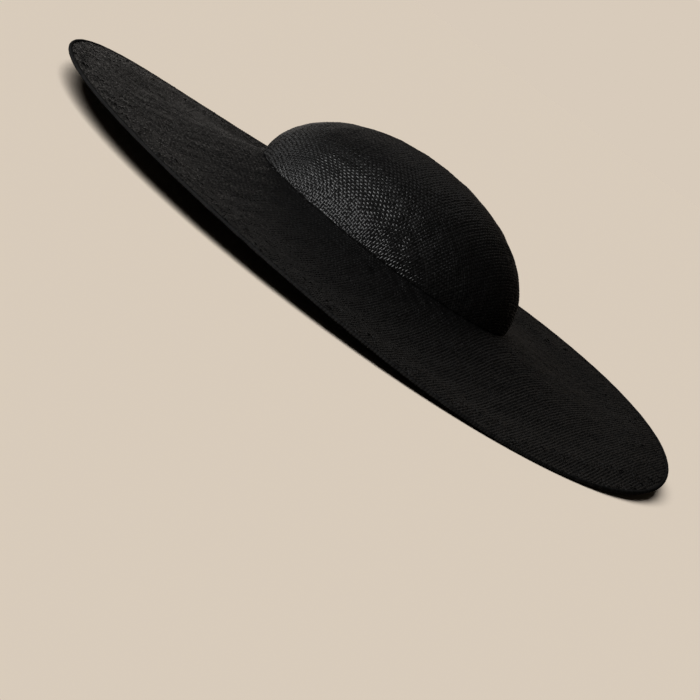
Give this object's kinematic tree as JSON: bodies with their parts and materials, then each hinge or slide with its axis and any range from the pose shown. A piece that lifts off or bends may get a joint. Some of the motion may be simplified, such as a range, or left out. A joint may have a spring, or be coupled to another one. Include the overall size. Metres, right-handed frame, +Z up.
{
  "type": "wide brim straw hat",
  "caption": "Woven straw sun hat with a low round crown, a very wide dished brim that dips at the sides, and a fine roll along its edge; worn on the head to shade face, neck and shoulders",
  "frame": {"origin": "on the surface the hat rests on, in the middle of its plan", "axes": "+Z up, -Y towards the front of the hat, +X towards the wearer's left"},
  "size_m": [0.444, 0.4532, 0.081],
  "materials": {
    "crown": "fine black woven straw with a satin sheen on each strand",
    "brim": "fine black woven straw with a satin sheen on each strand",
    "brim_edge": "the same straw rolled over and stitched to a fine round edge, satin"
  },
  "bodies": {
    "root": {"crown": "crown", "brim": "brim", "brim_edge": "brim_edge"}
  },
  "joints": []
}
